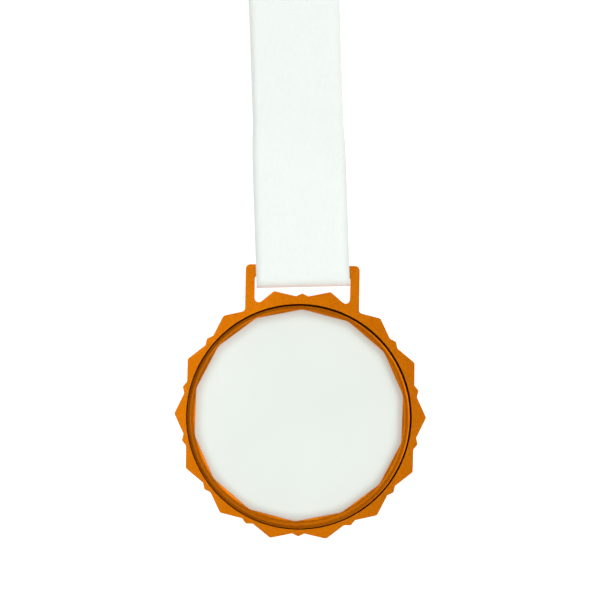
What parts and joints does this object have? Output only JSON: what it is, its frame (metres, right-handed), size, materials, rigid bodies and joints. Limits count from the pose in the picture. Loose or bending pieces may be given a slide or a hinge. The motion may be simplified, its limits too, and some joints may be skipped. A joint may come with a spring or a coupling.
{
  "type": "sports finisher medal",
  "caption": "Scalloped bronze finisher medal with a convex bezel ring round a blank white insert, on a white neck ribbon folded for storage.",
  "frame": {"origin": "centre of the medal's flat back face, at the centre of its scalloped outline", "axes": "+Z out of the medal's front face, +Y from the medal's centre towards the lug and the ribbon, +X to the right as the face is read"},
  "size_m": [0.0674, 0.2093, 0.0092],
  "materials": {
    "bronze_frame": "satin orange-bronze plating with a fine grain, on a zinc alloy casting",
    "bronze_bezel": "the same orange-bronze plating, a little smoother",
    "white_insert": "gloss white coating, blank, on a thin metal disc",
    "adhesive": "matte double-sided adhesive film",
    "white_satin": "white satin woven ribbon",
    "white_thread": "white polyester sewing thread"
  },
  "bodies": {
    "medal": {"medal_frame": "bronze_frame", "bezel_ring": "bronze_bezel", "insert_plate": "white_insert", "adhesive_pad": "adhesive"},
    "neck_ribbon": {"ribbon": "white_satin", "seam_thread": "white_thread"}
  },
  "joints": [
    {"name": "ribbon_swing", "type": "hinge", "parent": "medal", "child": "neck_ribbon", "pos_m": [0, 0.0388, 0.0028], "axis": [1, 0, 0], "range_deg": [-120, 130]}
  ]
}
